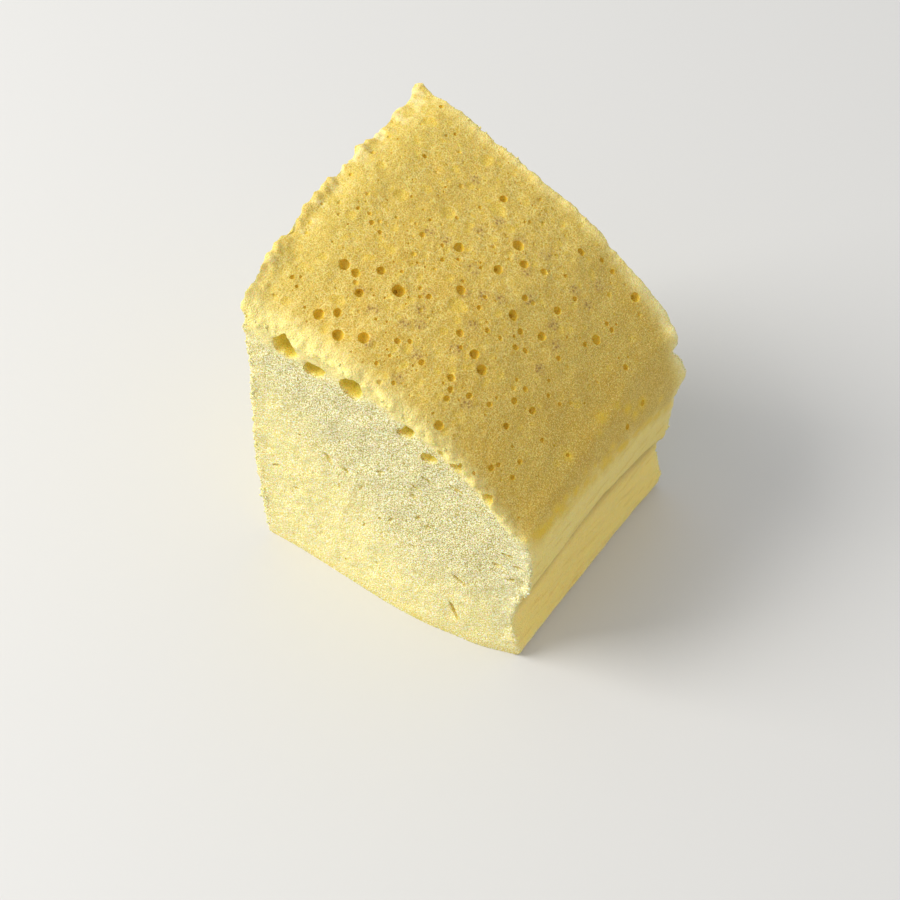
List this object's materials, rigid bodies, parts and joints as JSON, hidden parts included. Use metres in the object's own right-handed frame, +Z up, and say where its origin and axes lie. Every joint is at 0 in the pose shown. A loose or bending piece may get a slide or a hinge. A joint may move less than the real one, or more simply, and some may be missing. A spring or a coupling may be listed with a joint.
{
  "type": "steamed sponge cake",
  "caption": "Cut chunk of airy steamed sponge with a porous domed skin that slopes from a tall cut side down to a creased mould side; stands on its flat base.",
  "frame": {"origin": "middle of the flat base's bounding box, on the base", "axes": "+Z up; +X from the tall cut side towards the mould side; +Y from the near cut face towards the far one"},
  "size_m": [0.0812, 0.0776, 0.0899],
  "materials": {
    "sponge": "matt, soft and porous"
  },
  "bodies": {
    "root": {"sponge_cake": "sponge"}
  },
  "joints": []
}
